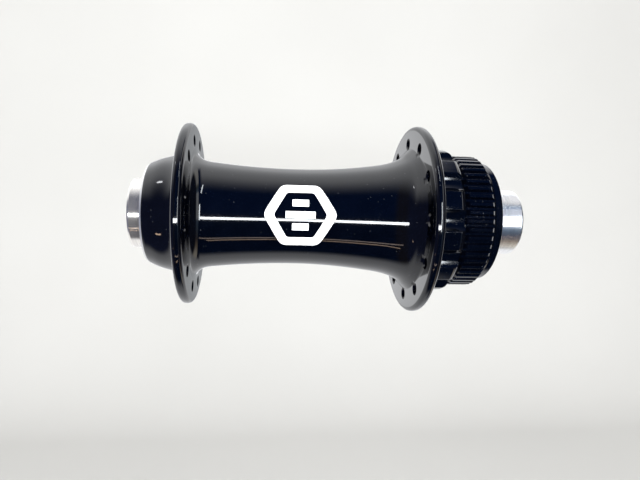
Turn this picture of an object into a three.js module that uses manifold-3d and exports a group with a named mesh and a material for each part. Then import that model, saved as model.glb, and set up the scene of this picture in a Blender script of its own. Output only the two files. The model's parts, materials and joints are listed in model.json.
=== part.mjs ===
// Front hub for a bicycle wheel: a flanged shell that turns on two sealed ball bearings round a
// fixed hollow axle, with push-on end caps for a 12 x 100 mm through axle and a splined mount
// for a disc rotor.
//
// Everything is in millimetres. +Y runs along the axle towards the rotor side, +X points
// forwards and +Z up. The origin is on the axle line, midway between the end caps' outer faces.
// A profile is a list of [radius, y] points, turned about the Y axis.

import * as THREE from "three";
import { mergeVertices } from "three/addons/utils/BufferGeometryUtils.js";
import Module from "manifold-3d";

const wasm = await Module();
wasm.setup();

// Driving dimensions

const HALF_LENGTH = 50; // half the distance between the fork ends
const GAP = 0.3; // clear space left between pieces that touch on the real hub

const LEFT_FLANGE = { y: -36.06, radius: 23, holeCircle: 18.8, firstHole: 15 };
const RIGHT_FLANGE = { y: 22.2, radius: 24.65, holeCircle: 20.2, firstHole: 0 };
const FLANGE_HALF = 1.3; // half a flange's thickness
const RIM_ROUND = 0.8; // rounding of a flange's rim
const HOLES_PER_FLANGE = 12;
const SPOKE_HOLE_RADIUS = 1.3;
const CUT_MARGIN = 1; // how far a cutter runs past what it cuts

const SHELL_LEFT = -46.2; // left end of the shell
const COLLAR_END = 40.9; // right end of the shell
const COLLAR_RADIUS = 15.75;
const EDGE = 0.3; // chamfer of the turned edges

const SHOULDER_RADIUS = 18.9; // the shoulder that the rotor is clamped against
const SHOULDER_END = 30.5;
const SHOULDER_EDGE = 0.5; // chamfer of the shoulder's outer edge
const SHOULDER_ROOT = 0.7; // cone between the shoulder and the flange
const SEAT_INNER = 17.6; // inner edge of the ring of faces that the rotor rests on
const SEAT_RELIEF = 0.3; // depth of the recess inside that ring
const SCALLOP_RADIUS = 3; // spoke heads pass the shoulder through its scallops
const SCALLOP_CIRCLE = 20.2;
const SCALLOP_START = 0.1; // how far the scallops stay off the flange

const SPLINE_TEETH = 52;
const SPLINE_TIP = 17.45;
const SPLINE_ROOT = 16.65;
const SPLINE_START = 31;
const SPLINE_END = 38.95;
const SPLINE_LEAD_IN = 0.9; // length of the slope at each end of the teeth
const SPLINE_LEAD_OUT = 1.4;
const SPLINE_END_RADIUS = 16.15;
const SPLINE_CORE = 16; // the shell under the spline, hidden by it
const SPLINE_INSIDE = 15.2; // hidden inner radius of the toothed ring
const GROOVE_RADIUS = 16.35; // floor of the groove between the shoulder and the teeth
const GROOVE_END = 31.2;
const TOOTH_TIP_SHARE = 0.18; // half a tooth's width, as a share of the pitch
const TOOTH_ROOT_SHARE = 0.36;

const LOCKRING_RADIUS = 14.5; // crest radius of the lockring's thread
const LOCKRING_MOUTH = 0.5; // chamfer at the mouth of the thread
const THREAD_RUN_OUT = 0.6; // length of the cone at the bottom of the thread
const THREAD_BOTTOM = 1.2; // distance from the bearing to that cone
const BEARING_SEAT = 12.1; // radius of the shell's bearing seats
const SHELL_BORE = 10.5; // radius of the shell's bore between the bearings

const BEARING = { inner: 7.5, outer: 11.8, width: 5, pitch: 9.65, land: 0.72 };
const LEFT_BEARING = -42; // middle of each bearing
const RIGHT_BEARING = 28;
const BALLS = 14;
const BALL_RADIUS = 1.19;
const RACEWAY = 1.36; // radius of the grooves that the balls run in
const SEAL = { gap: 0.15, half: 0.2, inset: 0.3, slope: 0.3 };
const CAGE = { half: 0.42, back: -0.8, front: 1.75, clearance: 0.15 };

const AXLE_BORE = 6.2;
const SEAT_RADIUS = 7.3; // the axle under the bearings and the end caps
const TUBE_RADIUS = 8.6; // the axle's shoulders between the bearings
const WAIST_RADIUS = 8;
const TUBE_LAND = 6; // length of each thick end of the tube
const TUBE_TAPER = 3;
const LEFT_STUB = -48.4; // the axle's two ends
const RIGHT_STUB = 41.2;

const CAP_BORE = 6.05;
const CAP_SOCKET = 7.6; // the end cap's bore where it slips over the axle
const LEFT_CAP_RADIUS = 8.9;
const RIGHT_CAP_RADIUS = 8.8;
const CAP_EDGE = 0.35; // chamfer of an end cap's outer end
const CAP_LEAD = 0.4; // length of the chamfers at its inner end

const RING_GROOVE = { radius: 6.75, half: 0.6 };
const RING = { radius: 7.14, section: 0.3 };
const LEFT_RING = -46.6; // each O-ring's place along the axle
const RIGHT_RING = 35.5;

const SHELL_SIDES = 48;
const CAP_SIDES = 36;
const SMALL_SIDES = 28;
const SCALLOP_SIDES = 16;
const HOLE_SIDES = 8;
const MERGE_DISTANCE = 1e-4; // vertices closer than this are one

// Materials

function material(color, roughness, metalness) {
  return new THREE.MeshStandardMaterial({ color, roughness, metalness });
}

const blackAnodised = material(0x0b0c11, 0.18, 0.6);
const turnedAluminium = material(0xb9b6b0, 0.32, 1);
const axleAluminium = material(0x8f9296, 0.4, 1);
const bearingSteel = material(0xa8abb0, 0.25, 1);
const ballSteel = material(0xd5d8dc, 0.08, 1);
const cagePlastic = material(0xd8cba8, 0.6, 0);
const sealRubber = material(0x17181a, 0.7, 0);
const ringRubber = material(0x101010, 0.6, 0);

// Geometry helpers

function solidOf(geometry) {
  const bare = geometry.clone();
  bare.deleteAttribute("normal");
  bare.deleteAttribute("uv");
  const merged = mergeVertices(bare, MERGE_DISTANCE);
  return new wasm.Manifold(
    new wasm.Mesh({
      numProp: 3,
      vertProperties: new Float32Array(merged.attributes.position.array),
      triVerts: new Uint32Array(merged.index.array),
    }),
  );
}

function geometryOf(solid) {
  const { vertProperties, triVerts } = solid.getMesh();
  const geometry = new THREE.BufferGeometry();
  geometry.setAttribute("position", new THREE.BufferAttribute(vertProperties, 3));
  geometry.setIndex(new THREE.BufferAttribute(triVerts, 1));
  geometry.computeVertexNormals();
  return geometry;
}

// A closed profile turned once round the Y axis, whichever way round its points are given.
function turned(profile, sides = SMALL_SIDES) {
  const points = profile.map(([radius, y]) => new THREE.Vector2(radius, y));
  if (THREE.ShapeUtils.area(points) < 0) points.reverse();
  points.push(points[0].clone());
  return new THREE.LatheGeometry(points, sides);
}

// A profile's mirror image in the plane y = 0.
function mirrored(profile) {
  return profile.map(([radius, y]) => [radius, -y]);
}

// A smooth curve through the given [radius, y] points.
function smooth(points, pieces) {
  const curve = new THREE.SplineCurve(points.map(([r, y]) => new THREE.Vector2(r, y)));
  return curve.getPoints(pieces).map((p) => [p.x, p.y]);
}

// A round stretch of profile, in degrees, 0 pointing outwards and 90 towards +Y.
function arc(radius, y, round, from, to, pieces) {
  return Array.from({ length: pieces + 1 }, (_, i) => {
    const angle = THREE.MathUtils.degToRad(from + ((to - from) * i) / pieces);
    return [radius + round * Math.cos(angle), y + round * Math.sin(angle)];
  });
}

// A place on a circle round the axle; 0 degrees is towards +X and 90 towards +Z.
function around(radius, y, degrees) {
  const angle = THREE.MathUtils.degToRad(degrees);
  return new THREE.Vector3(radius * Math.cos(angle), y, radius * Math.sin(angle));
}

const hub = new THREE.Group();

function add(name, geometry, finish, place = new THREE.Vector3()) {
  const mesh = new THREE.Mesh(geometry, finish);
  mesh.name = name;
  mesh.position.copy(place);
  hub.add(mesh);
}

// The hub shell

function flangeRim({ y, radius }) {
  const inset = FLANGE_HALF - RIM_ROUND;
  return [
    ...arc(radius - RIM_ROUND, y - inset, RIM_ROUND, -90, 0, 2),
    ...arc(radius - RIM_ROUND, y + inset, RIM_ROUND, 0, 90, 2),
  ];
}

function shellOutside() {
  const leftFace = LEFT_FLANGE.y - FLANGE_HALF;
  const leftInner = LEFT_FLANGE.y + FLANGE_HALF;
  const rightInner = RIGHT_FLANGE.y - FLANGE_HALF;
  const rightFace = RIGHT_FLANGE.y + FLANGE_HALF;
  return [
    [12.3, SHELL_LEFT],
    [12.75, -45.7],
    ...smooth([[13, -45.4], [14, -43], [14.9, -40], [15.6, -38.7], [17.1, leftFace]], 5),
    ...flangeRim(LEFT_FLANGE),
    ...smooth([[17, leftInner], [15.5, -34.5], [14.4, -33.4], [13.8, -32], [13.3, -28]], 5),
    ...smooth([[12.7, -20], [12.4, -10], [12.7, -1], [13.6, 8], [14.8, 15]], 6),
    ...smooth([[15.3, 17], [16.3, 18.5], [17.6, 19.8], [18.8, rightInner]], 3),
    ...flangeRim(RIGHT_FLANGE),
    [SHOULDER_RADIUS + SHOULDER_ROOT, rightFace],
    [SHOULDER_RADIUS, rightFace + SHOULDER_ROOT],
    [SHOULDER_RADIUS, SHOULDER_END - SHOULDER_EDGE],
    [SHOULDER_RADIUS - SHOULDER_EDGE, SHOULDER_END],
    [SEAT_INNER, SHOULDER_END],
    [SEAT_INNER, SHOULDER_END - SEAT_RELIEF],
    [GROOVE_RADIUS, SHOULDER_END - SEAT_RELIEF],
    [GROOVE_RADIUS, GROOVE_END],
    [SPLINE_CORE, GROOVE_END],
    [SPLINE_CORE, SPLINE_END - EDGE],
    [COLLAR_RADIUS, SPLINE_END - EDGE],
    [COLLAR_RADIUS, COLLAR_END - EDGE],
    [COLLAR_RADIUS - EDGE, COLLAR_END],
  ];
}

// The inside, from the lockring's thread back to the left bearing's seat.
function shellInside() {
  const rightSeatFloor = RIGHT_BEARING - BEARING.width / 2 - GAP;
  const leftSeatFloor = LEFT_BEARING + BEARING.width / 2 + GAP;
  const threadEnd = RIGHT_BEARING + BEARING.width / 2 + THREAD_BOTTOM;
  return [
    [LOCKRING_RADIUS + LOCKRING_MOUTH, COLLAR_END],
    [LOCKRING_RADIUS, COLLAR_END - LOCKRING_MOUTH],
    [LOCKRING_RADIUS, threadEnd + THREAD_RUN_OUT],
    [BEARING_SEAT, threadEnd],
    [BEARING_SEAT, rightSeatFloor],
    [SHELL_BORE, rightSeatFloor],
    [SHELL_BORE, leftSeatFloor],
    [BEARING_SEAT, leftSeatFloor],
    [BEARING_SEAT, SHELL_LEFT],
  ];
}

// Outline of the toothed ring: each tooth is narrower at its tip than at its root.
function splineOutline() {
  const toothPoints = [
    [-TOOTH_ROOT_SHARE, SPLINE_ROOT],
    [-TOOTH_TIP_SHARE, SPLINE_TIP],
    [TOOTH_TIP_SHARE, SPLINE_TIP],
    [TOOTH_ROOT_SHARE, SPLINE_ROOT],
  ];
  const outline = [];
  for (let tooth = 0; tooth < SPLINE_TEETH; tooth++) {
    for (const [share, radius] of toothPoints) {
      const place = around(radius, 0, ((tooth + share) * 360) / SPLINE_TEETH);
      outline.push(new THREE.Vector2(place.x, place.z));
    }
  }
  return new THREE.Shape(outline);
}

function splineRing() {
  const depth = SPLINE_END - SPLINE_START + 2 * CUT_MARGIN;
  const bar = new THREE.ExtrudeGeometry(splineOutline(), { depth, bevelEnabled: false });
  bar.rotateX(-Math.PI / 2);
  bar.translate(0, SPLINE_START - CUT_MARGIN, 0);
  const clearOfTips = SPLINE_TIP + 0.1;
  const envelope = [
    [SPLINE_INSIDE, SPLINE_START],
    [SPLINE_ROOT, SPLINE_START],
    [clearOfTips, SPLINE_START + SPLINE_LEAD_IN],
    [clearOfTips, SPLINE_END - SPLINE_LEAD_OUT],
    [SPLINE_END_RADIUS, SPLINE_END],
    [SPLINE_INSIDE, SPLINE_END],
  ];
  return solidOf(bar).intersect(solidOf(turned(envelope, SHELL_SIDES)));
}

function spokeHole(flange, index) {
  const depth = 2 * (FLANGE_HALF + CUT_MARGIN);
  const hole = new THREE.CylinderGeometry(SPOKE_HOLE_RADIUS, SPOKE_HOLE_RADIUS, depth, HOLE_SIDES);
  const angle = flange.firstHole + (index * 360) / HOLES_PER_FLANGE;
  hole.translate(...around(flange.holeCircle, flange.y, angle).toArray());
  return solidOf(hole);
}

function scallop(index) {
  const start = RIGHT_FLANGE.y + FLANGE_HALF + SCALLOP_START;
  const length = SPLINE_START - start;
  const cutter = new THREE.CylinderGeometry(SCALLOP_RADIUS, SCALLOP_RADIUS, length, SCALLOP_SIDES);
  const angle = RIGHT_FLANGE.firstHole + (index * 360) / HOLES_PER_FLANGE;
  cutter.translate(...around(SCALLOP_CIRCLE, start + length / 2, angle).toArray());
  return solidOf(cutter);
}

function hubShell() {
  let shell = solidOf(turned([...shellOutside(), ...shellInside()], SHELL_SIDES));
  shell = shell.add(splineRing());
  for (let i = 0; i < HOLES_PER_FLANGE; i++) {
    shell = shell.subtract(scallop(i));
    shell = shell.subtract(spokeHole(LEFT_FLANGE, i));
    shell = shell.subtract(spokeHole(RIGHT_FLANGE, i));
  }
  return geometryOf(shell);
}

add("hub_shell", hubShell(), blackAnodised);

// The axle

function ringGroove(y) {
  const { radius, half } = RING_GROOVE;
  return [
    [SEAT_RADIUS, y - half],
    [radius, y - half],
    [radius, y + half],
    [SEAT_RADIUS, y + half],
  ];
}

function axleTube() {
  const leftShoulder = LEFT_BEARING + BEARING.width / 2 + GAP;
  const rightShoulder = RIGHT_BEARING - BEARING.width / 2 - GAP;
  return turned([
    [AXLE_BORE, LEFT_STUB],
    [SEAT_RADIUS - EDGE, LEFT_STUB],
    [SEAT_RADIUS, LEFT_STUB + EDGE],
    ...ringGroove(LEFT_RING),
    [SEAT_RADIUS, leftShoulder],
    [TUBE_RADIUS, leftShoulder],
    [TUBE_RADIUS, leftShoulder + TUBE_LAND],
    [WAIST_RADIUS, leftShoulder + TUBE_LAND + TUBE_TAPER],
    [WAIST_RADIUS, rightShoulder - TUBE_LAND - TUBE_TAPER],
    [TUBE_RADIUS, rightShoulder - TUBE_LAND],
    [TUBE_RADIUS, rightShoulder],
    [SEAT_RADIUS, rightShoulder],
    ...ringGroove(RIGHT_RING),
    [SEAT_RADIUS, RIGHT_STUB - EDGE],
    [SEAT_RADIUS - EDGE, RIGHT_STUB],
    [AXLE_BORE, RIGHT_STUB],
  ]);
}

add("axle_tube", axleTube(), axleAluminium);

// The end caps: each slips over one end of the axle and bears on the inner race.

function endCap(radius, stub, innerEnd) {
  return [
    [CAP_BORE + CAP_EDGE, HALF_LENGTH],
    [radius - CAP_EDGE, HALF_LENGTH],
    [radius, HALF_LENGTH - CAP_EDGE],
    [radius, innerEnd + CAP_LEAD],
    [radius - EDGE, innerEnd],
    [CAP_SOCKET + EDGE, innerEnd],
    [CAP_SOCKET, innerEnd + CAP_LEAD],
    [CAP_SOCKET, stub + GAP],
    [CAP_BORE, stub + GAP],
    [CAP_BORE, HALF_LENGTH - CAP_EDGE],
  ];
}

const leftCapEnd = -(LEFT_BEARING - BEARING.width / 2 - GAP);
const rightCapEnd = RIGHT_BEARING + BEARING.width / 2 + GAP;
const leftCap = mirrored(endCap(LEFT_CAP_RADIUS, -LEFT_STUB, leftCapEnd));
const rightCap = endCap(RIGHT_CAP_RADIUS, RIGHT_STUB, rightCapEnd);
add("left_end_cap", turned(leftCap, CAP_SIDES), turnedAluminium);
add("right_end_cap", turned(rightCap, CAP_SIDES), turnedAluminium);

// The O-rings that hold the end caps on the axle

function oRing() {
  const corners = 6;
  const lastCorner = 360 - 360 / corners;
  return turned(arc(RING.radius, 0, RING.section, 0, lastCorner, corners - 1));
}

add("left_cap_o_ring", oRing(), ringRubber, around(0, LEFT_RING, 0));
add("right_cap_o_ring", oRing(), ringRubber, around(0, RIGHT_RING, 0));

// The sealed ball bearings

// One side of a race: its land, the raceway's groove and its land again. The side is -1 for the
// inner race and 1 for the outer one.
function raceway(side) {
  const half = BEARING.width / 2;
  const land = BEARING.pitch + side * BEARING.land;
  const edge = THREE.MathUtils.radToDeg(Math.acos(BEARING.land / RACEWAY));
  const groove = arc(0, 0, RACEWAY, -edge, edge, 4);
  return [
    [land, -half],
    ...groove.map(([reach, y]) => [BEARING.pitch + side * reach, y]),
    [land, half],
  ];
}

function innerRace() {
  const half = BEARING.width / 2;
  return turned([[BEARING.inner, -half], ...raceway(-1), [BEARING.inner, half]]);
}

function outerRace() {
  const half = BEARING.width / 2;
  return turned([[BEARING.outer, -half], ...raceway(1), [BEARING.outer, half]]);
}

function bearingSeal() {
  const inner = BEARING.pitch - BEARING.land + SEAL.gap;
  const outer = BEARING.pitch + BEARING.land - SEAL.gap;
  return turned([
    [inner, 0],
    [inner + SEAL.slope, SEAL.half],
    [outer, SEAL.half],
    [outer, -SEAL.half],
    [inner + SEAL.slope, -SEAL.half],
  ]);
}

// A crown cage: a ring with one round pocket for each ball, open on one side.
function ballCage() {
  const ring = [
    [BEARING.pitch - CAGE.half, CAGE.back],
    [BEARING.pitch + CAGE.half, CAGE.back],
    [BEARING.pitch + CAGE.half, CAGE.front],
    [BEARING.pitch - CAGE.half, CAGE.front],
  ];
  const pocketRadius = BALL_RADIUS + CAGE.clearance;
  const depth = 2 * (CAGE.half + CUT_MARGIN);
  let cage = solidOf(turned(ring, 2 * BALLS));
  for (let i = 0; i < BALLS; i++) {
    const pocket = new THREE.CylinderGeometry(pocketRadius, pocketRadius, depth, HOLE_SIDES);
    pocket.rotateZ(Math.PI / 2);
    pocket.translate(BEARING.pitch, 0, 0);
    pocket.rotateY((2 * Math.PI * i) / BALLS);
    cage = cage.subtract(solidOf(pocket));
  }
  return geometryOf(cage);
}

function addBearing(side, y, outward) {
  const centre = new THREE.Vector3(0, y, 0);
  const sealOffset = BEARING.width / 2 - SEAL.inset;
  const outboard = centre.clone().setY(y + outward * sealOffset);
  const inboard = centre.clone().setY(y - outward * sealOffset);
  add(`${side}_bearing_inner_race`, innerRace(), bearingSteel, centre);
  add(`${side}_bearing_outer_race`, outerRace(), bearingSteel, centre);
  add(`${side}_bearing_outboard_seal`, bearingSeal(), sealRubber, outboard);
  add(`${side}_bearing_inboard_seal`, bearingSeal(), sealRubber, inboard);
  add(`${side}_bearing_cage`, ballCage(), cagePlastic, centre);
  for (let i = 0; i < BALLS; i++) {
    const name = `${side}_bearing_ball_${String(i + 1).padStart(2, "0")}`;
    const ball = new THREE.IcosahedronGeometry(BALL_RADIUS, 1);
    add(name, ball, ballSteel, around(BEARING.pitch, y, (-360 * i) / BALLS));
  }
}

addBearing("left", LEFT_BEARING, -1);
addBearing("right", RIGHT_BEARING, 1);

export default hub;
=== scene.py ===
"""The looks of a bicycle front hub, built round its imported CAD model.

Profiles and outlines are in millimetres and MM turns them into metres. +Y runs along the axle
towards the rotor side. A profile is a list of (radius, y) points that is turned about the Y
axis, and a third number at a corner is the radius that rounds it. The camera, the studio and the
lights are in metres.
"""

import json
import math

import bmesh
import bpy
from mathutils import Matrix, Vector


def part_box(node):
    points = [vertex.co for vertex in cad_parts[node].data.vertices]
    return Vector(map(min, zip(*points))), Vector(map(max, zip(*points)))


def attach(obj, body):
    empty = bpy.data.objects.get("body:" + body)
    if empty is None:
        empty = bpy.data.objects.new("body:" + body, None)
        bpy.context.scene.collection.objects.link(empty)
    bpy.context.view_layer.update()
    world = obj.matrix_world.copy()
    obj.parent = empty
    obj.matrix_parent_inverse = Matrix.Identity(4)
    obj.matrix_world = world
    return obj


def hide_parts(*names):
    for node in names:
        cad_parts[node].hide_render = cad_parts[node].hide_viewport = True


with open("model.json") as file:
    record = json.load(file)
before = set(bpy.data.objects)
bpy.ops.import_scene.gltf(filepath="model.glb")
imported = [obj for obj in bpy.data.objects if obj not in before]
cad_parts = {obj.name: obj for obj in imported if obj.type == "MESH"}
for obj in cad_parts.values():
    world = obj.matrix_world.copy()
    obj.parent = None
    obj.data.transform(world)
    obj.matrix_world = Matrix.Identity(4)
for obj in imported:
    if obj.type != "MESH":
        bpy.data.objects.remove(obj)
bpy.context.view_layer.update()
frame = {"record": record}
RECORD = frame["record"]

MM = 0.001


# Sizes read from the CAD model


def ends(node):
    """Where a node starts and ends along the axle."""
    low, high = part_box(node)
    return low.y / MM, high.y / MM


def middle(node):
    return sum(ends(node)) / 2


def outer_radius(node):
    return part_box(node)[1].x / MM


def mount_y(name):
    place = next(mount["pos_m"] for mount in RECORD["mounts"] if mount["name"] == name)
    return place[1] / MM


SHELL_LEFT, SHELL_RIGHT = ends("hub_shell")
LEFT_FLANGE_FACE = mount_y("left_flange_outer_face")
RIGHT_FLANGE_FACE = mount_y("right_flange_inner_face")
SHOULDER_END = mount_y("rotor_seat")
RIGHT_FLANGE_RADIUS = outer_radius("hub_shell")
BEARING_MIDDLES = {side: middle(f"{side}_bearing_outer_race") for side in ("left", "right")}
BEARING_HALF = (ends("left_bearing_outer_race")[1] - ends("left_bearing_outer_race")[0]) / 2

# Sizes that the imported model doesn't state

EDGE = 0.3  # chamfer of the turned edges
OVERLAP = 0.5  # how far joined solids run into each other
LIP_RADIUS = 12.75  # the bare metal ring round the left bearing
LIP_WIDTH = 0.5
LIP_FACE = 0.1

FLANGE_THICKNESS = 2.6
LEFT_FLANGE_RADIUS = 23.0
RIM_ROUND = 1.05
HOLES = 12  # spoke holes in each flange
HOLE_RADIUS = 1.3
HOLE_SIDES = 32
HOLE_CIRCLES = {"left": 18.8, "right": 20.2}
FIRST_HOLES = {"left": math.radians(15), "right": 0.0}
COUNTERSINK = 0.35
CUT_MARGIN = 0.4  # how far a hole's cutter runs past the flange

SHOULDER_RADIUS = 18.9  # the shoulder that the rotor is clamped against
SHOULDER_CHAMFER = (0.8, 0.7)
SHOULDER_ROUND = 1.6
SHOULDER_CORNER = 0.15
SHOULDER_ROOT = 0.5
SHOULDER_MARGIN = 0.01  # how far its envelope stays off its outer face
SEAT_INNER = 17.6
SEAT_RELIEF = 0.3
SEAT_ROUND = 0.05
JOIN_RADIUS = 15.3  # hidden inner radius of what is joined to the shell
SCALLOP_RADIUS = 3.0
SCALLOP_CIRCLE = 20.2
SCALLOP_EDGE = 0.28
SCALLOP_STEPS = 14
PETAL_CORE = 16.9

TEETH = 52
TOOTH_TIP = 17.45
TOOTH_ROOT = 16.65
TIP_SHARE = 0.19  # half a tooth's width, as a share of the pitch
ROOT_SHARE = 0.35
TOOTH_ROUND = 0.14
SPLINE_START = 31.0
SPLINE_END = 38.95
SPLINE_LEAD_IN = 0.9  # length of the slope at each end of the teeth
SPLINE_LEAD_OUT = 1.4
SPLINE_DROPS = (0.1, 0.5)  # how far each slope ends below the teeth's roots
SPLINE_ROUNDS = (0.1, 0.3, 0.12)
SPLINE_MARGIN = 0.1
SPLINE_CORE = 16.0
GROOVE_RADIUS = 16.35  # floor of the groove between the shoulder and the teeth
GROOVE_EDGE = 0.2
COLLAR_RADIUS = 15.75
COLLAR_EDGE = 0.25

BEARING_SEAT = 12.1
SEAT_GAP = 0.3
SHELL_BORE = 10.5
THREAD_CREST = 14.5
THREAD_ROOT = 15.0
THREAD_PITCH = 1.0
THREAD_TURNS = 9
THREAD_STEPS = 72  # steps in one turn
THREAD_START = 2.0  # distance from the bearing's face to the first groove
THREAD_FLOOR = 1.2
THREAD_GROOVE = 1.1  # width of the relief behind the thread
THREAD_MOUTH = 0.5
THREAD_DEPTHS = (-0.2, -0.02)  # a groove's mouth from the crest and its floor from the root
THREAD_HALVES = (0.46, 0.08)  # half a groove's width at its mouth and at its floor

FINE = 192  # sides of the shell
SMOOTH = 128  # sides of the other turned pieces


# Shape helpers


def curved(points, steps):
    """A centripetal Catmull-Rom curve through the points, with this many steps between two."""
    knots = [Vector(point) for point in points]
    knots.insert(0, 2 * knots[0] - knots[1])
    knots.append(2 * knots[-1] - knots[-2])
    curve = []
    for before, start, end, after in zip(knots, knots[1:], knots[2:], knots[3:]):
        t0 = 0.0
        t1 = t0 + math.sqrt((start - before).length)
        t2 = t1 + math.sqrt((end - start).length)
        t3 = t2 + math.sqrt((after - end).length)
        for step in range(steps):
            t = t1 + (t2 - t1) * step / steps
            first = before.lerp(start, (t - t0) / (t1 - t0))
            second = start.lerp(end, (t - t1) / (t2 - t1))
            third = end.lerp(after, (t - t2) / (t3 - t2))
            left = first.lerp(second, (t - t0) / (t2 - t0))
            right = second.lerp(third, (t - t1) / (t3 - t1))
            curve.append(tuple(left.lerp(right, (t - t1) / (t2 - t1))))
    curve.append(tuple(points[-1]))
    return curve


def rounded(corners, steps=4):
    """A closed outline, with each corner that has a third value rounded to that radius."""
    outline = []
    for index, corner in enumerate(corners):
        if len(corner) < 3:
            outline.append(tuple(corner))
            continue
        here = Vector(corner[:2])
        before = (Vector(corners[index - 1][:2]) - here).normalized()
        after = (Vector(corners[(index + 1) % len(corners)][:2]) - here).normalized()
        half = before.angle(after) / 2
        centre = here + (before + after).normalized() * corner[2] / math.sin(half)
        spoke = here + before * corner[2] / math.tan(half) - centre
        side = 1 if before.cross(after) < 0 else -1
        for step in range(steps + 1):
            turn = side * (math.pi - 2 * half) * step / steps
            outline.append(tuple(centre + Matrix.Rotation(turn, 2) @ spoke))
    return outline


def polar(radius, angle):
    return radius * math.cos(angle), radius * math.sin(angle)


def half_circle(radius, steps):
    """A profile that turns into a ball."""
    return [polar(radius, math.pi * (step / steps - 0.5)) for step in range(steps + 1)]


def add_mesh(name, vertices, faces):
    """A new object with its faces pointing out and its doubled vertices merged."""
    mesh = bpy.data.meshes.new(name)
    mesh.from_pydata([Vector(vertex) * MM for vertex in vertices], [], faces)
    work = bmesh.new()
    work.from_mesh(mesh)
    bmesh.ops.remove_doubles(work, verts=work.verts, dist=1e-8)
    bmesh.ops.recalc_face_normals(work, faces=work.faces)
    work.to_mesh(mesh)
    work.free()
    piece = bpy.data.objects.new(name, mesh)
    bpy.context.scene.collection.objects.link(piece)
    return piece


def band(rows, count, closed):
    """Faces between rows of points; each row is a closed ring of this many points."""
    faces = []
    for row in range(rows if closed else rows - 1):
        here = row * count
        there = (row + 1) % rows * count
        for i in range(count):
            j = (i + 1) % count
            faces.append((here + i, here + j, there + j, there + i))
    if not closed:
        faces.append(tuple(range(count)))
        faces.append(tuple(range((rows - 1) * count, rows * count)))
    return faces


def turned(name, profile, sides=SMOOTH, centre=(0, 0, 0)):
    """A closed profile turned about the Y axis, then moved to its centre."""
    vertices = []
    for side in range(sides):
        for radius, y in profile:
            x, z = polar(radius, 2 * math.pi * side / sides)
            vertices.append((centre[0] + x, centre[1] + y, centre[2] + z))
    return add_mesh(name, vertices, band(sides, len(profile), True))


def prism(name, outline, start, end):
    """An (x, z) outline drawn out along the axle."""
    vertices = [(x, y, z) for y in (start, end) for x, z in outline]
    return add_mesh(name, vertices, band(2, len(outline), False))


def joined(name, parts):
    """Separate pieces made into one object."""
    work = bmesh.new()
    for part in parts:
        work.from_mesh(part.data)
        bpy.data.objects.remove(part)
    mesh = bpy.data.meshes.new(name)
    work.to_mesh(mesh)
    work.free()
    whole = bpy.data.objects.new(name, mesh)
    bpy.context.scene.collection.objects.link(whole)
    return whole


def settled(piece):
    """Keeps the mesh that the piece's modifiers make and removes the modifiers."""
    graph = bpy.context.evaluated_depsgraph_get()
    result = bpy.data.meshes.new_from_object(piece.evaluated_get(graph))
    piece.modifiers.clear()
    piece.data = result
    return piece


def cut(target, tool, operation):
    """Joins, cuts or intersects two closed pieces and removes the tool."""
    modifier = target.modifiers.new("cut", "BOOLEAN")
    modifier.operation = operation
    modifier.solver = "MANIFOLD"
    modifier.object = tool
    settled(target)
    bpy.data.objects.remove(tool)
    return target


def smoothed(piece, sharp=32):
    """Smooth shading that breaks at sharp edges and stays flat on the widest faces."""
    piece.data.polygons.foreach_set("use_smooth", [True] * len(piece.data.polygons))
    piece.data.set_sharp_from_angle(angle=math.radians(sharp))
    modifier = piece.modifiers.new("flat_lands", "WEIGHTED_NORMAL")
    modifier.keep_sharp = True
    modifier.weight = 90
    return settled(piece)


# Materials


class Shading:
    """A node tree, with the few nodes that the materials and the world are made of."""

    def __init__(self, owner):
        owner.use_nodes = True
        self.nodes = owner.node_tree.nodes
        self.links = owner.node_tree.links

    def add(self, kind):
        return self.nodes.new(f"ShaderNode{kind}")

    def feed(self, socket, value):
        """Gives a socket another node's output, a colour or a number."""
        if isinstance(value, bpy.types.NodeSocket):
            self.links.new(value, socket)
        elif isinstance(value, tuple):
            socket.default_value = (*value, 1)
        else:
            socket.default_value = value

    def place(self, stretch=(1, 1, 1)):
        """Object coordinates in metres, stretched along each axis."""
        mapping = self.add("Mapping")
        mapping.inputs["Scale"].default_value = stretch
        self.feed(mapping.inputs["Vector"], self.add("TexCoord").outputs["Object"])
        return mapping.outputs["Vector"]

    def noise(self, scale, detail=2.0, stretch=(1, 1, 1)):
        texture = self.add("TexNoise")
        self.feed(texture.inputs["Scale"], scale)
        self.feed(texture.inputs["Detail"], detail)
        self.feed(texture.inputs["Vector"], self.place(stretch))
        return texture.outputs["Fac"]

    def ramp(self, source, stops):
        """A colour ramp from (position, colour) stops; a number stands for a grey."""
        node = self.add("ValToRGB")
        elements = node.color_ramp.elements
        while len(elements) < len(stops):
            elements.new(0.5)
        for element, (position, colour) in zip(elements, stops):
            element.position = position
            element.color = (*colour, 1) if isinstance(colour, tuple) else (colour,) * 3 + (1,)
        self.feed(node.inputs["Fac"], source)
        return node.outputs["Color"]

    def mix(self, factor, first, second):
        node = self.add("Mix")
        node.data_type = "RGBA"
        for socket, value in (("Factor", factor), ("A", first), ("B", second)):
            self.feed(node.inputs[socket], value)
        return node.outputs["Result"]

    def math(self, operation, *values):
        node = self.add("Math")
        node.operation = operation
        for socket, value in zip(node.inputs, values):
            self.feed(socket, value)
        return node.outputs["Value"]

    def step(self, value, start, end):
        """Rises smoothly from 0 at start to 1 at end."""
        node = self.add("MapRange")
        node.interpolation_type = "SMOOTHSTEP"
        self.feed(node.inputs["From Min"], start)
        self.feed(node.inputs["From Max"], end)
        self.feed(node.inputs["Value"], value)
        return node.outputs["Result"]

    def bump(self, height, distance, strength=1.0):
        node = self.add("Bump")
        self.feed(node.inputs["Strength"], strength)
        self.feed(node.inputs["Distance"], distance)
        self.feed(node.inputs["Height"], height)
        return node.outputs["Normal"]


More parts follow.
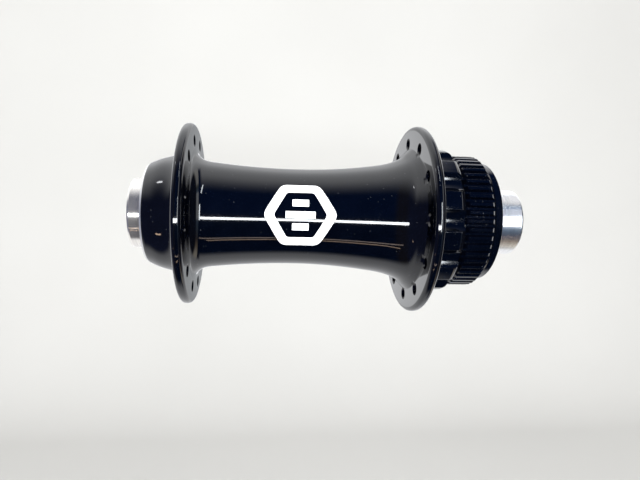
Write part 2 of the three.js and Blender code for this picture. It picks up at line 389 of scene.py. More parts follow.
def new_material(name):
    """A material, its node tree and its shader's sockets."""
    material = bpy.data.materials.new(name)
    tree = Shading(material)
    return material, tree, tree.nodes["Principled BSDF"].inputs


def black_anodised():
    """Glossy black anodising with a faint navy cast, a fine grain and specks of dust."""
    material, tree, shader = new_material("black_anodised")
    tree.feed(shader["IOR"], 1.48)
    black = (0.0003, 0.0005, 0.0014)
    navy = (0.0005, 0.0008, 0.0022)
    tone = tree.ramp(tree.noise(220, 3), [(0.35, black), (0.65, navy)])
    cells = tree.add("TexVoronoi")
    tree.feed(cells.inputs["Scale"], 1500)
    tree.feed(cells.inputs["Vector"], tree.place())
    dot = tree.ramp(cells.outputs["Distance"], [(0.03, 1.0), (0.12, 0.0)])
    pick = tree.add("SeparateColor")
    tree.feed(pick.inputs["Color"], cells.outputs["Color"])
    rare = tree.ramp(pick.outputs["Red"], [(0.88, 0.0), (0.92, 1.0)])
    dust = (0.16, 0.165, 0.17)
    tree.feed(shader["Base Color"], tree.mix(tree.math("MULTIPLY", dot, rare), tone, dust))
    tree.feed(shader["Roughness"], tree.ramp(tree.noise(90, 4), [(0.35, 0.05), (0.7, 0.08)]))
    tree.feed(shader["Normal"], tree.bump(tree.noise(2600, 3), 1.5e-6, 0.5))
    return material


def turned_metal(name, colour, rough, rings, depth, anisotropy=0.0, metallic=1.0):
    """Bare metal with the fine rings that a lathe leaves; rings is how many cross a metre."""
    material, tree, shader = new_material(name)
    tree.feed(shader["Metallic"], metallic)
    tree.feed(shader["Anisotropic"], anisotropy)
    tree.feed(shader["Anisotropic Rotation"], 0.25)
    tangent = tree.add("Tangent")
    tangent.direction_type = "RADIAL"
    tangent.axis = "Y"
    tree.feed(shader["Tangent"], tangent.outputs["Tangent"])
    lines = tree.noise(rings, 4, (0.02, 1, 0.02))
    dark = tuple(channel * 0.8 for channel in colour)
    tree.feed(shader["Base Color"], tree.ramp(lines, [(0.3, dark), (0.62, colour)]))
    grain = tree.ramp(tree.noise(160, 2), [(0.3, rough * 0.85), (0.7, rough * 1.15)])
    tree.feed(shader["Roughness"], grain)
    tree.feed(shader["Normal"], tree.bump(lines, depth))
    return material


def polymer(name, dark, light, rough, grain, depth):
    """Rubber, plastic or paint with a slight mottle and a fine moulded grain."""
    material, tree, shader = new_material(name)
    mottle = tree.noise(350, 3)
    tree.feed(shader["Base Color"], tree.ramp(mottle, [(0.3, dark), (0.7, light)]))
    tree.feed(shader["Roughness"], tree.ramp(mottle, [(0.3, rough * 0.9), (0.7, rough * 1.1)]))
    tree.feed(shader["Normal"], tree.bump(tree.noise(grain, 3), depth, 0.6))
    return material


BLACK = black_anodised()
MACHINED = turned_metal("machined_lip", (0.9, 0.89, 0.87), 0.5, 9000, 2e-6)
LEFT_CAP_METAL = turned_metal("left_cap_metal", (0.8, 0.77, 0.73), 0.18, 5200, 8e-6, 0.8, 0.93)
RIGHT_CAP_METAL = turned_metal("right_cap_metal", (0.84, 0.84, 0.84), 0.26, 7000, 2e-6, 0.8)
AXLE_METAL = turned_metal("axle_metal", (0.6, 0.61, 0.63), 0.32, 4200, 6e-6, 0.4)
RACE_STEEL = turned_metal("race_steel", (0.56, 0.57, 0.59), 0.2, 11000, 2e-6, 0.3)
BALL_STEEL = turned_metal("ball_steel", (0.8, 0.81, 0.83), 0.06, 15000, 5e-7)
SEAL_RUBBER = polymer("seal_rubber", (0.012, 0.012, 0.014), (0.024, 0.024, 0.026), 0.5, 9000, 1e-5)
RING_RUBBER = polymer("ring_rubber", (0.008,) * 3, (0.016,) * 3, 0.42, 12000, 5e-6)
CAGE_PLASTIC = polymer("cage_plastic", (0.58, 0.5, 0.33), (0.68, 0.6, 0.41), 0.5, 7000, 1e-5)
MARK_PAINT = polymer("mark_paint", (0.8, 0.81, 0.82), (0.88, 0.885, 0.89), 0.4, 8000, 4e-6)


# How each piece joins the frame

BODY_OF = {node: body for body, nodes in RECORD["behaviour"]["bodies"].items() for node in nodes}


def stand_for(piece, node, *materials):
    """The piece takes the place and the body of a CAD node, and is given these materials."""
    piece.data.materials.clear()
    for material in materials:
        piece.data.materials.append(material)
    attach(piece, BODY_OF[node])
    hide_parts(node)


# The hub shell

LEFT_FLANGE_INNER = LEFT_FLANGE_FACE + FLANGE_THICKNESS
RIGHT_FLANGE_OUTER = RIGHT_FLANGE_FACE + FLANGE_THICKNESS
LEFT_FLANGE_MIDDLE = LEFT_FLANGE_FACE + FLANGE_THICKNESS / 2
RIGHT_FLANGE_MIDDLE = RIGHT_FLANGE_FACE + FLANGE_THICKNESS / 2
LIP_EDGE = SHELL_LEFT + LIP_WIDTH

DOME = [
    (13.0, LIP_EDGE + 0.3),
    (14.0, -43.0),
    (14.9, -40.0),
    (15.6, -38.7),
    (17.1, LEFT_FLANGE_FACE),
]
DOME_STEPS = 6

BARREL = [
    (17.0, LEFT_FLANGE_INNER),
    (15.5, -34.5),
    (14.4, -33.4),
    (13.8, -32.0),
    (13.3, -28.0),
    (12.7, -20.0),
    (12.4, -10.0),
    (12.7, -1.0),
    (13.6, 8.0),
    (14.8, 15.0),
    (16.3, 18.5),
    (17.6, 19.8),
    (18.8, RIGHT_FLANGE_FACE),
]
BARREL_STEPS = 8


def flange_rim(radius, left, right):
    return rounded([(radius, left, RIM_ROUND), (radius, right, RIM_ROUND), (0, left)], 8)[:-1]


def shell_inside():
    """From the mouth of the lockring's thread back to the left bearing's seat."""
    left_floor = BEARING_MIDDLES["left"] + BEARING_HALF + SEAT_GAP
    right_floor = BEARING_MIDDLES["right"] - BEARING_HALF - SEAT_GAP
    thread_start = BEARING_MIDDLES["right"] + BEARING_HALF + THREAD_FLOOR
    return [
        (THREAD_ROOT, SHELL_RIGHT),
        (THREAD_CREST, SHELL_RIGHT - THREAD_MOUTH),
        (THREAD_CREST, thread_start + THREAD_GROOVE + EDGE),
        (THREAD_ROOT, thread_start + THREAD_GROOVE),
        (THREAD_ROOT, thread_start + GROOVE_EDGE),
        (THREAD_ROOT - GROOVE_EDGE, thread_start),
        (BEARING_SEAT + EDGE, thread_start),
        (BEARING_SEAT, thread_start - EDGE),
        (BEARING_SEAT, right_floor),
        (SHELL_BORE + EDGE, right_floor),
        (SHELL_BORE, right_floor - EDGE),
        (SHELL_BORE, left_floor + EDGE),
        (SHELL_BORE + EDGE, left_floor),
        (BEARING_SEAT, left_floor),
        (BEARING_SEAT, SHELL_LEFT + GROOVE_EDGE),
    ]


def shell_profile():
    """The shell without its scalloped shoulder and its teeth, which are joined to it."""
    core = rounded(
        [
            (PETAL_CORE, RIGHT_FLANGE_OUTER, SHOULDER_ROOT),
            (PETAL_CORE, SHOULDER_END - OVERLAP),
            (GROOVE_RADIUS, SHOULDER_END - OVERLAP),
            (GROOVE_RADIUS, SPLINE_START + GROOVE_EDGE),
            (SPLINE_CORE, SPLINE_START + GROOVE_EDGE),
            (SPLINE_CORE, SPLINE_END - EDGE),
            (COLLAR_RADIUS, SPLINE_END - EDGE),
            (COLLAR_RADIUS, SHELL_RIGHT, COLLAR_EDGE),
            (0, SHELL_RIGHT),
            (0, RIGHT_FLANGE_OUTER),
        ]
    )[:-2]
    return [
        (BEARING_SEAT + GROOVE_EDGE, SHELL_LEFT),
        (BEARING_SEAT + GROOVE_EDGE + LIP_FACE, SHELL_LEFT),
        (LIP_RADIUS, LIP_EDGE),
        *curved(DOME, DOME_STEPS),
        *flange_rim(LEFT_FLANGE_RADIUS, LEFT_FLANGE_FACE, LEFT_FLANGE_INNER),
        *curved(BARREL, BARREL_STEPS),
        *flange_rim(RIGHT_FLANGE_RADIUS, RIGHT_FLANGE_FACE, RIGHT_FLANGE_OUTER),
        *core,
        *shell_inside(),
    ]


def shoulder_outline():
    """A circle with a round hollow beside each spoke hole, and its corners eased."""
    circle, hollow, far = SHOULDER_RADIUS, SCALLOP_RADIUS, SCALLOP_CIRCLE
    edge = math.acos((far**2 + circle**2 - hollow**2) / (2 * far * circle))
    reach = math.acos((far**2 + hollow**2 - circle**2) / (2 * far * hollow))
    span = 2 * math.pi / HOLES - 2 * edge
    outline = []
    for index in range(HOLES):
        centre = FIRST_HOLES["right"] + 2 * math.pi * index / HOLES
        cx, cz = polar(far, centre)
        for step in range(SCALLOP_STEPS + 1):
            dx, dz = polar(hollow, centre + math.pi + reach * (1 - 2 * step / SCALLOP_STEPS))
            corner = (SCALLOP_EDGE,) if step in (0, SCALLOP_STEPS) else ()
            outline.append((cx + dx, cz + dz, *corner))
        for step in range(1, SCALLOP_STEPS):
            outline.append(polar(circle, centre + edge + span * step / SCALLOP_STEPS))
    return rounded(outline)


def shoulder():
    """The scalloped shoulder that the rotor is clamped against."""
    radial, axial = SHOULDER_CHAMFER
    start = RIGHT_FLANGE_OUTER - OVERLAP
    clear = SHOULDER_RADIUS + SHOULDER_MARGIN
    petals = prism("petals", shoulder_outline(), start - OVERLAP, SHOULDER_END + OVERLAP)
    envelope = rounded(
        [
            (JOIN_RADIUS, start),
            (clear, start),
            (clear, SHOULDER_END - axial, SHOULDER_ROUND),
            (SHOULDER_RADIUS - radial, SHOULDER_END, SHOULDER_CORNER),
            (SEAT_INNER, SHOULDER_END, SEAT_ROUND),
            (SEAT_INNER, SHOULDER_END - SEAT_RELIEF),
            (JOIN_RADIUS, SHOULDER_END - SEAT_RELIEF),
        ]
    )
    return cut(petals, turned("shoulder_envelope", envelope, FINE), "INTERSECT")


def spline_outline():
    pitch = 2 * math.pi / TEETH
    corners = []
    for tooth in range(TEETH):
        for share, radius in (
            (-ROOT_SHARE, TOOTH_ROOT),
            (-TIP_SHARE, TOOTH_TIP),
            (TIP_SHARE, TOOTH_TIP),
            (ROOT_SHARE, TOOTH_ROOT),
        ):
            corners.append((*polar(radius, (tooth + share) * pitch), TOOTH_ROUND))
    return rounded(corners)


def spline():
    """The ring of teeth that carries the rotor, sloped at both ends."""
    first_drop, last_drop = SPLINE_DROPS
    first_round, tip_round, last_round = SPLINE_ROUNDS
    teeth = prism("teeth", spline_outline(), SPLINE_START - OVERLAP, SPLINE_END + OVERLAP)
    clear = TOOTH_TIP + SPLINE_MARGIN
    envelope = rounded(
        [
            (JOIN_RADIUS, SPLINE_START),
            (TOOTH_ROOT - first_drop, SPLINE_START, first_round),
            (clear, SPLINE_START + SPLINE_LEAD_IN, tip_round),
            (clear, SPLINE_END - SPLINE_LEAD_OUT, tip_round),
            (TOOTH_ROOT - last_drop, SPLINE_END, last_round),
            (JOIN_RADIUS, SPLINE_END),
        ]
    )
    return cut(teeth, turned("spline_envelope", envelope, 4 * TEETH), "INTERSECT")


def spoke_holes():
    """Cutters for every spoke hole, countersunk on both faces."""
    half = FLANGE_THICKNESS / 2
    past = half + CUT_MARGIN
    mouth = HOLE_RADIUS + COUNTERSINK + CUT_MARGIN
    profile = [
        (0, -past),
        (mouth, -past),
        (HOLE_RADIUS, COUNTERSINK - half),
        (HOLE_RADIUS, half - COUNTERSINK),
        (mouth, past),
        (0, past),
    ]
    cutters = []
    for side, y in (("left", LEFT_FLANGE_MIDDLE), ("right", RIGHT_FLANGE_MIDDLE)):
        for index in range(HOLES):
            angle = FIRST_HOLES[side] + 2 * math.pi * index / HOLES
            x, z = polar(HOLE_CIRCLES[side], angle)
            cutters.append(turned(f"hole_{side}_{index}", profile, HOLE_SIDES, (x, y, z)))
    return joined("holes", cutters)


def thread():
    """A cutter for the lockring's right-handed thread, from its relief out past the mouth."""
    start = BEARING_MIDDLES["right"] + BEARING_HALF + THREAD_START
    mouth = THREAD_CREST + THREAD_DEPTHS[0]
    floor = THREAD_ROOT + THREAD_DEPTHS[1]
    wide, narrow = THREAD_HALVES
    section = [(mouth, -wide), (mouth, wide), (floor, narrow), (floor, -narrow)]
    rows = THREAD_TURNS * THREAD_STEPS + 1
    vertices = []
    for row in range(rows):
        share = row / THREAD_STEPS
        for radius, rise in section:
            x, z = polar(radius, -2 * math.pi * share)
            vertices.append((x, start + THREAD_PITCH * share + rise, z))
    return add_mesh("thread", vertices, band(rows, len(section), False))


def hub_shell():
    shell = turned("hub_shell_finished", shell_profile(), FINE)
    cut(shell, shoulder(), "UNION")
    cut(shell, spline(), "UNION")
    cut(shell, spoke_holes(), "DIFFERENCE")
    cut(shell, thread(), "DIFFERENCE")
    smoothed(shell)
    stand_for(shell, "hub_shell", BLACK, MACHINED)
    for face in shell.data.polygons:
        y = face.center.y / MM
        radius = math.hypot(face.center.x, face.center.z) / MM
        lip = y < LIP_EDGE and radius < LIP_RADIUS
        seat = y < 0 and radius < BEARING_SEAT + GROOVE_EDGE
        face.material_index = 1 if lip or seat else 0


hub_shell()


# The mark on the barrel: a plain hexagon with three bars

MARK_Y = -8.55
MARK_ANGLE = math.radians(2)
MARK_REACH = 9.0
MARK_LINE = 2.2
MARK_CORNERS = (1.0, 2.2)  # rounding of the hexagon's inner and outer corners
MARK_HEIGHT = 0.03
MARK_LANES = 6  # steps across a stroke
SIDE_STEPS = 6  # steps along each piece of the hexagon's outline
BAR_HALVES = (2.0, 3.6, 2.0)  # half the length of each bar
BAR_PITCH = 2.9
BAR_WIDTH = 1.7
BAR_STEPS = 16


def barrel_radius(y):
    """The barrel's radius where the mark lies, from the curve that the shell is turned from."""
    curve = curved(BARREL, BARREL_STEPS)
    for (r0, y0), (r1, y1) in zip(curve, curve[1:]):
        if y0 <= y <= y1:
            return r0 + (r1 - r0) * (y - y0) / (y1 - y0)
    return curve[-1][0]


def on_barrel(along, across, height):
    """A flat design's point, wrapped on the barrel and raised by a height."""
    y = MARK_Y + along
    radius = barrel_radius(y)
    x, z = polar(radius + height, MARK_ANGLE + across / radius)
    return x, y, z


def stroke(name, inner, outer, closed):
    """A thin raised band between two rows of points, wrapped on the barrel."""
    shares = [lane / MARK_LANES for lane in range(MARK_LANES + 1)]
    vertices = []
    for near, far in zip(inner, outer):
        row = [Vector(near).lerp(Vector(far), share) for share in shares]
        vertices += [on_barrel(*point, MARK_HEIGHT) for point in row]
        vertices += [on_barrel(*point, -MARK_HEIGHT) for point in reversed(row)]
    return add_mesh(name, vertices, band(len(inner), 2 * len(shares), closed))


def hexagon(reach, corner):
    """A rounded hexagon's points, evenly many for any size so that two can be joined."""
    outline = rounded([(*polar(reach, math.pi / 3 * k), corner) for k in range(6)], 5)
    fine = []
    for point, after in zip(outline, outline[1:] + outline[:1]):
        for step in range(SIDE_STEPS):
            fine.append(tuple(Vector(point).lerp(Vector(after), step / SIDE_STEPS)))
    return fine


def mark():
    inner_corner, outer_corner = MARK_CORNERS
    inner = hexagon(MARK_REACH - MARK_LINE / math.cos(math.pi / 6), inner_corner)
    pieces = [stroke("mark_hexagon", inner, hexagon(MARK_REACH, outer_corner), True)]
    for index, half in enumerate(BAR_HALVES):
        bottom = BAR_PITCH * (index - 1) - BAR_WIDTH / 2
        low = [(half * (2 * step / BAR_STEPS - 1), bottom) for step in range(BAR_STEPS + 1)]
        high = [(along, across + BAR_WIDTH) for along, across in low]
        pieces.append(stroke(f"mark_bar_{index + 1}", low, high, False))
    for piece in pieces:
        smoothed(piece)
        piece.data.materials.append(MARK_PAINT)
        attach(piece, "shell")


mark()


# The axle tube, end caps and O-rings

AXLE_BORE = 6.2
BORE_ROUND = 0.15
SEAT_RADIUS = 7.3
SEAT_RUN = 0.1  # how far the bearings' seats run past the inner races
TUBE_RADIUS = 8.6
TUBE_ROUND = 0.3
TUBE_LAND = 6  # length of each thick end of the tube
TUBE_TAPER = 3
TUBE_BEND = 4
WAIST_RADIUS = 8.0

CAP_BORE = 6.05
CAP_SOCKET = 7.6
CAP_RIM = (0.2, 0.42)  # the sloped rim, inwards and along the axle
CAP_RIM_ROUND = 0.04
CAP_LEAD = 0.4
CAP_ROUND = 0.05
CAP_STEP_ROUND = 0.1
CAP_GAP = 0.3
CAP_SHARP = 20  # degrees; a sloped rim keeps its edges

RING_SECTION = 0.3
RING_RADIUS = 7.14
RING_STEPS = 24
GROOVE_FLOOR = 6.75
GROOVE_HALF = 0.6
GROOVE_ROUNDS = (0.08, 0.12)  # at a ring groove's mouth and floor


def ring_groove(y):
    mouth, floor = GROOVE_ROUNDS
    return [
        (SEAT_RADIUS, y - GROOVE_HALF, mouth),
        (GROOVE_FLOOR, y - GROOVE_HALF, floor),
        (GROOVE_FLOOR, y + GROOVE_HALF, floor),
        (SEAT_RADIUS, y + GROOVE_HALF, mouth),
    ]


def axle_tube():
    left, right = ends("axle_tube")
    inner_left = BEARING_MIDDLES["left"] + BEARING_HALF + SEAT_RUN
    inner_right = BEARING_MIDDLES["right"] - BEARING_HALF - SEAT_RUN
    profile = [
        (AXLE_BORE, left, BORE_ROUND),
        (SEAT_RADIUS, left, TUBE_ROUND),
        *ring_groove(middle("left_cap_o_ring")),
        (SEAT_RADIUS, inner_left),
        (TUBE_RADIUS, inner_left, TUBE_ROUND),
        (TUBE_RADIUS, inner_left + TUBE_LAND, TUBE_BEND),
        (WAIST_RADIUS, inner_left + TUBE_LAND + TUBE_TAPER, TUBE_BEND),
        (WAIST_RADIUS, inner_right - TUBE_LAND - TUBE_TAPER, TUBE_BEND),
        (TUBE_RADIUS, inner_right - TUBE_LAND, TUBE_BEND),
        (TUBE_RADIUS, inner_right, TUBE_ROUND),
        (SEAT_RADIUS, inner_right),
        *ring_groove(middle("right_cap_o_ring")),
        (SEAT_RADIUS, right, TUBE_ROUND),
        (AXLE_BORE, right, BORE_ROUND),
    ]
    tube = smoothed(turned("axle_tube_finished", rounded(profile)))
    stand_for(tube, "axle_tube", AXLE_METAL)


def end_cap(side, stub, metal):
    """A cap with a sloped rim and a lead-in at each end of its bore."""
    node = f"{side}_end_cap"
    low, high = ends(node)
    outward = -1 if side == "left" else 1
    face, foot = (low, high) if side == "left" else (high, low)
    radius = outer_radius(node)
    floor = stub + outward * CAP_GAP
    profile = [
        (CAP_BORE + CAP_LEAD, face, CAP_ROUND),
        (radius - CAP_RIM[0], face, CAP_RIM_ROUND),
        (radius, face - outward * CAP_RIM[1], CAP_ROUND),
        (radius, foot + outward * CAP_LEAD, CAP_STEP_ROUND),
        (radius - EDGE, foot, CAP_ROUND),
        (CAP_SOCKET + EDGE, foot),
        (CAP_SOCKET, foot + outward * CAP_LEAD),
        (CAP_SOCKET, floor),
        (CAP_BORE, floor, CAP_STEP_ROUND),
        (CAP_BORE, face - outward * CAP_LEAD, CAP_ROUND),
    ]
    cap = smoothed(turned(f"{node}_finished", rounded(profile)), CAP_SHARP)
    stand_for(cap, node, metal)


def o_ring(side):
    node = f"{side}_cap_o_ring"
    circle = [polar(RING_SECTION, 2 * math.pi * step / RING_STEPS) for step in range(RING_STEPS)]
    profile = [(RING_RADIUS + reach, rise) for reach, rise in circle]
    ring = turned(f"{node}_finished", profile, centre=(0, middle(node), 0))
    stand_for(smoothed(ring), node, RING_RUBBER)


axle_tube()
end_cap("left", ends("axle_tube")[0], LEFT_CAP_METAL)
end_cap("right", ends("axle_tube")[1], RIGHT_CAP_METAL)
o_ring("left")
o_ring("right")


# The sealed ball bearings

PITCH_RADIUS = 9.65
LAND = 0.72  # distance from the pitch circle to a race's land
RACEWAY = 1.3
RACEWAY_STEPS = 12
SEAL_STEP = (0.12, 0.25)  # the step in a race that takes a seal, deep and wide
STEP_ROUND = 0.08
RACE_ROUND = 0.28
RACE_BACKS = {"inner": SEAT_RADIUS + 0.03, "outer": BEARING_SEAT - 0.04}

SEAL_BACK = 0.2  # half a seal's thickness
SEAL_SUNK = 0.06
SEAL_RIDGE = 0.18
SEAL_ROUNDS = (0.03, 0.05, 0.06)  # thin, ridge and bead
SEAL_GAPS = (0.05, 0.04)  # from the inner and the outer land

BALLS = 14
BALL_RADIUS = 1.19
BALL_STEPS = 16
BALL_SHARP = 60
CAGE_HALF = 0.42
CAGE_ROUND = 0.12
POCKET_GAP = 0.12
POCKET_STEPS = 12


def raceway(side):
    """Half of a race's profile: its land, a step for each seal and the ball groove."""
    deep, wide = SEAL_STEP
    land = PITCH_RADIUS + side * LAND
    edge = math.acos(LAND / RACEWAY)
    groove = []
    for step in range(RACEWAY_STEPS + 1):
        reach, y = polar(RACEWAY, edge * (2 * step / RACEWAY_STEPS - 1))
        groove.append((PITCH_RADIUS + side * reach, y))
    return [
        (land + side * deep, -BEARING_HALF, STEP_ROUND),
        (land, -BEARING_HALF + wide),
        *groove,
        (land, BEARING_HALF - wide),
        (land + side * deep, BEARING_HALF, STEP_ROUND),
    ]


def race(side, which, sign):
    node = f"{side}_bearing_{which}_race"
    back = RACE_BACKS[which]
    profile = [
        (back, -BEARING_HALF, RACE_ROUND),
        *raceway(sign),
        (back, BEARING_HALF, RACE_ROUND),
    ]
    piece = turned(f"{node}_finished", rounded(profile), centre=(0, BEARING_MIDDLES[side], 0))
    stand_for(smoothed(piece), node, RACE_STEEL)


def seal(side, which):
    """A moulded rubber seal with a ridge, a sunk ring and a thin lip on the inner race."""
    node = f"{side}_bearing_{which}_seal"
    y = middle(node)
    out = 1 if y > BEARING_MIDDLES[side] else -1
    lip = PITCH_RADIUS - LAND + SEAL_GAPS[0]
    bead = PITCH_RADIUS + LAND - SEAL_GAPS[1]
    thin, ridge, thick = SEAL_ROUNDS
    profile = [
        (lip, out * 0.05, thin),
        (lip + 0.22, out * SEAL_RIDGE, ridge),
        (lip + 0.42, out * SEAL_RIDGE, ridge),
        (lip + 0.5, out * SEAL_SUNK, thin),
        (bead - 0.38, out * SEAL_SUNK, thin),
        (bead - 0.3, out * SEAL_BACK, thick),
        (bead, out * SEAL_BACK, thick),
        (bead, out * -SEAL_BACK, thick),
        (lip + 0.3, out * -SEAL_BACK, thick),
    ]
    piece = turned(f"{node}_finished", rounded(profile), centre=(0, y, 0))
    stand_for(smoothed(piece), node, SEAL_RUBBER)


def cage(side):
    """A crown cage: a thin ring with a round pocket for each ball, open on one side."""
    node = f"{side}_bearing_cage"
    low, high = ends(node)
    y = BEARING_MIDDLES[side]
    ring = [
        (PITCH_RADIUS - CAGE_HALF, low - y, CAGE_ROUND),
        (PITCH_RADIUS + CAGE_HALF, low - y, CAGE_ROUND),
        (PITCH_RADIUS + CAGE_HALF, high - y, CAGE_ROUND),
        (PITCH_RADIUS - CAGE_HALF, high - y, CAGE_ROUND),
    ]
    piece = turned(f"{node}_finished", rounded(ring), 12 * BALLS, (0, y, 0))
    arc = half_circle(BALL_RADIUS + POCKET_GAP, POCKET_STEPS)
    pockets = []
    for index in range(BALLS):
        x, z = polar(PITCH_RADIUS, -2 * math.pi * index / BALLS)
        pockets.append(turned(f"pocket_{side}_{index}", arc, 2 * POCKET_STEPS, (x, y, z)))
    cut(piece, joined("pockets", pockets), "DIFFERENCE")
    stand_for(smoothed(piece), node, CAGE_PLASTIC)


def balls(side):
    arc = half_circle(BALL_RADIUS, BALL_STEPS)
    for index in range(BALLS):
        node = f"{side}_bearing_ball_{index + 1:02d}"
        low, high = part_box(node)
        centre = tuple((low + high) / 2 / MM)
        ball = turned(f"{node}_finished", arc, 2 * BALL_STEPS, centre)
        stand_for(smoothed(ball, BALL_SHARP), node, BALL_STEEL)


for bearing in ("left", "right"):
    race(bearing, "inner", -1)
    race(bearing, "outer", 1)
    seal(bearing, "outboard")
    seal(bearing, "inboard")
    cage(bearing)
    balls(bearing)


# The camera

CAMERA_PLACE = (0.13009, -0.01671, 0.0)
CAMERA_YAW = math.radians(6.3)
CAMERA_PITCH = math.radians(-2.66)
CAMERA_ROLL = math.radians(1.51)
CAMERA_LENS = 27.56
CAMERA_NEAR = 0.005


def add_camera():
    """A level view across the hub, turned slightly towards the rotor side."""
    flat = math.cos(CAMERA_PITCH)
    forward = Vector(
        (-math.cos(CAMERA_YAW) * flat, math.sin(CAMERA_YAW) * flat, math.sin(CAMERA_PITCH))
    )
    side = forward.cross(Vector((0, 0, 1))).normalized()
    over = side.cross(forward)
    right = math.cos(CAMERA_ROLL) * side + math.sin(CAMERA_ROLL) * over
    up = math.cos(CAMERA_ROLL) * over - math.sin(CAMERA_ROLL) * side
    data = bpy.data.cameras.new("camera")
    data.lens = CAMERA_LENS
    data.clip_start = CAMERA_NEAR
    camera = bpy.data.objects.new("camera", data)
    turn = Matrix((right, up, -forward)).transposed().to_4x4()
    camera.matrix_world = Matrix.Translation(CAMERA_PLACE) @ turn
    bpy.context.scene.collection.objects.link(camera)
    bpy.context.scene.camera = camera


add_camera()


# The studio: a pale floor that curves up into a wall

FLOOR_Z = -0.17
FLOOR_FRONT = 1.2
WALL_X = -0.42
WALL_TOP = 1.2
STUDIO_HALF = 1.6
SWEEP = 0.18  # radius of the curve between the floor and the wall
SWEEP_STEPS = 16


def studio_paper():
    material, tree, shader = new_material("studio_paper")
    stops = [(0.3, (0.55, 0.545, 0.53)), (0.7, (0.58, 0.575, 0.56))]
    tree.feed(shader["Base Color"], tree.ramp(tree.noise(4), stops))
    tree.feed(shader["Roughness"], 0.9)
    return material


def add_studio():
    """Seen by the camera but not mirrored in gloss."""
    section = [(FLOOR_FRONT, FLOOR_Z), (WALL_X + SWEEP, FLOOR_Z)]
    for step in range(1, SWEEP_STEPS):
        dx, dz = polar(SWEEP, -math.pi / 2 * (1 + step / SWEEP_STEPS))
        section.append((WALL_X + SWEEP + dx, FLOOR_Z + SWEEP + dz))
    section += [(WALL_X, FLOOR_Z + SWEEP), (WALL_X, WALL_TOP)]
    vertices = [(x / MM, y / MM, z / MM) for y in (-STUDIO_HALF, STUDIO_HALF) for x, z in section]
    count = len(section)
    faces = [(i, i + 1, count + i + 1, count + i) for i in range(count - 1)]
    studio = smoothed(add_mesh("studio_floor", vertices, faces), 60)
    studio.data.materials.append(studio_paper())
    studio.visible_glossy = False


add_studio()


# What gloss mirrors: bright paper behind, over and under the hub, and a dim room in front. Each
# direction is a unit vector (x, y, z), and +X points to the camera.

PAPER = (0.83, 0.84, 0.86)
PAPER_BELOW = (0.54, 0.545, 0.56)
PAPER_EDGE = (0.5, 0.505, 0.515)
PAPER_RIGHT = (0.3, 0.31, 0.32)
ROOM_LOW = (0.002, 0.012, 0.04)
ROOM_HIGH = (0.002, 0.02, 0.09)
LEFT_WALL = (0.034, 0.028, 0.026)
FAR_LEFT = (0.03, 0.035, 0.08)
FAR_RIGHT = (0.02, 0.022, 0.03)

# Colours round the right-hand wall by their turn about the axle: straight down is at 0.25, the
# camera at 0.5 and straight up at 0.75
RIGHT_WALL = [
    (0.23, (0.9, 0.82, 0.68)),
    (0.285, (0.5, 0.4, 0.28)),
    (0.34, (0.15, 0.125, 0.12)),
    (0.39, (0.13, 0.16, 0.19)),
    (0.455, (0.16, 0.24, 0.34)),
    (0.475, (1.0, 1.04, 1.1)),
    (0.63, (1.0, 1.04, 1.1)),
    (0.645, (0.2, 0.29, 0.42)),
    (0.675, (0.19, 0.22, 0.22)),
    (0.69, (0.5, 0.48, 0.42)),
    (0.705, (1.0, 0.98, 0.93)),
]
MIRRORED_STRENGTH = 2.0
SEEN_COLOUR = (0.98, 0.975, 0.965)


def paper_share(tree, x, y, z, slope):
    """1 where paper is mirrored and 0 where the room is."""
    over = tree.math("GREATER_THAN", z, 0)
    bend = tree.mix(over, tree.step(x, 0.05, -0.25), tree.step(x, 0.66, -0.1))
    wrapped = tree.math("MULTIPLY", bend, tree.step(slope, 0.25, 0.55))
    wrapped = tree.math("MULTIPLY", wrapped, tree.step(y, 0.4, 0.25))
    return tree.math("MAXIMUM", tree.step(x, -0.2, -0.45), wrapped)


def paper_colour(tree, x, y, z, slope):
    """Paper that is duller below, far behind and at the right-hand end."""
    paper = tree.mix(tree.step(z, -0.15, -0.3), PAPER, PAPER_BELOW)
    edge = tree.math("MULTIPLY", tree.step(x, -0.65, -0.9), tree.step(slope, 0.16, 0.26))
    paper = tree.mix(edge, paper, PAPER_EDGE)
    beside = tree.math("MULTIPLY", tree.step(x, -0.9, -0.97), tree.step(y, -0.03, 0.06))
    return tree.mix(beside, paper, PAPER_RIGHT)


def room_colour(tree, x, y, z):
    """A navy room with a wall at each end of the hub."""
    room = tree.mix(tree.step(z, -0.3, 0.2), ROOM_LOW, ROOM_HIGH)
    left_wall = tree.mix(tree.step(y, -0.42, -0.58), LEFT_WALL, FAR_LEFT)
    room = tree.mix(tree.step(y, -0.16, -0.28), room, left_wall)
    turn = tree.math("MULTIPLY_ADD", tree.math("ARCTAN2", z, x), 0.5 / math.pi, 0.5)
    right_wall = tree.mix(tree.step(y, 0.62, 0.72), tree.ramp(turn, RIGHT_WALL), FAR_RIGHT)
    return tree.mix(tree.step(y, 0.475, 0.49), room, right_wall)


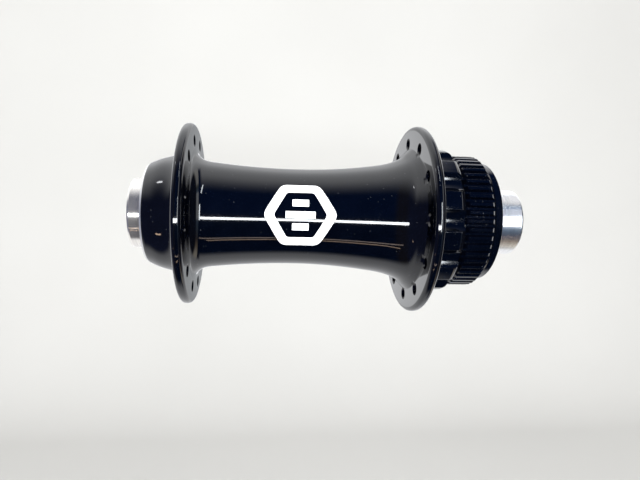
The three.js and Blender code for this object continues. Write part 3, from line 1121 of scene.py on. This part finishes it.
def add_world():
    """Pale to the camera and to matt surfaces, and the surroundings in gloss."""
    world = bpy.data.worlds.new("studio_world")
    bpy.context.scene.world = world
    tree = Shading(world)
    tree.nodes.clear()
    axes = tree.add("SeparateXYZ")
    tree.feed(axes.inputs["Vector"], tree.add("TexCoord").outputs["Generated"])
    x, y, z = (axes.outputs[axis] for axis in "XYZ")
    slope = tree.math("ABSOLUTE", z)
    share = paper_share(tree, x, y, z, slope)
    colour = tree.mix(share, room_colour(tree, x, y, z), paper_colour(tree, x, y, z, slope))
    mirrored = tree.add("Background")
    tree.feed(mirrored.inputs["Strength"], MIRRORED_STRENGTH)
    tree.feed(mirrored.inputs["Color"], colour)
    seen = tree.add("Background")
    tree.feed(seen.inputs["Color"], SEEN_COLOUR)
    choice = tree.add("MixShader")
    tree.feed(choice.inputs["Fac"], tree.add("LightPath").outputs["Is Glossy Ray"])
    tree.feed(choice.inputs[1], seen.outputs["Background"])
    tree.feed(choice.inputs[2], mirrored.outputs["Background"])
    tree.feed(tree.add("OutputWorld").inputs["Surface"], choice.outputs["Shader"])


add_world()


# The lights: a long strip over the barrel, windows, small glints and a fill that gloss ignores

DAYLIGHT = (0.9, 0.96, 1.0)


def add_light(name, azimuth, elevation, distance, size, power, colour, glossy=True):
    """A soft rectangle of light that faces the hub; azimuth turns from +X towards +Y."""
    data = bpy.data.lights.new(name, "AREA")
    data.shape = "RECTANGLE"
    data.size, data.size_y = size
    data.energy = power
    data.color = colour
    light = bpy.data.objects.new(name, data)
    turn, rise = math.radians(azimuth), math.radians(elevation)
    flat = math.cos(rise)
    out = Vector((math.cos(turn) * flat, math.sin(turn) * flat, math.sin(rise)))
    along = Vector((-math.sin(turn), math.cos(turn), 0))
    axes = Matrix((along, out.cross(along), out)).transposed().to_4x4()
    light.matrix_world = Matrix.Translation(out * distance) @ axes
    light.visible_camera = False
    light.visible_glossy = glossy
    bpy.context.scene.collection.objects.link(light)


add_light("strip_light", -6, -8.2, 0.5, (0.46, 0.042), 2.6, (0.93, 0.97, 1.0))
add_light("window_low", 21.5, 3.5, 0.5, (0.026, 0.277), 0.62, DAYLIGHT)
add_light("window_high", 21, 52, 0.5, (0.02, 0.17), 0.22, DAYLIGHT)
add_light("left_window", -67.7, 47, 0.5, (0.022, 0.03), 0.035, (0.95, 0.97, 1.0))
add_light("left_lamp", -54, -33, 0.5, (0.012, 0.02), 0.012, (1.0, 0.72, 0.5))
add_light("warm_edge", 0, -51.5, 0.45, (0.32, 0.012), 0.055, (1.0, 0.8, 0.66))
add_light("second_edge", -12, -57, 0.45, (0.14, 0.012), 0.03, (1.0, 0.72, 0.5))
add_light("fill_light", 0, 12, 0.9, (0.8, 0.5), 8.0, (1.0, 1.0, 1.0), False)
bpy.context.scene.view_settings.view_transform = "Standard"
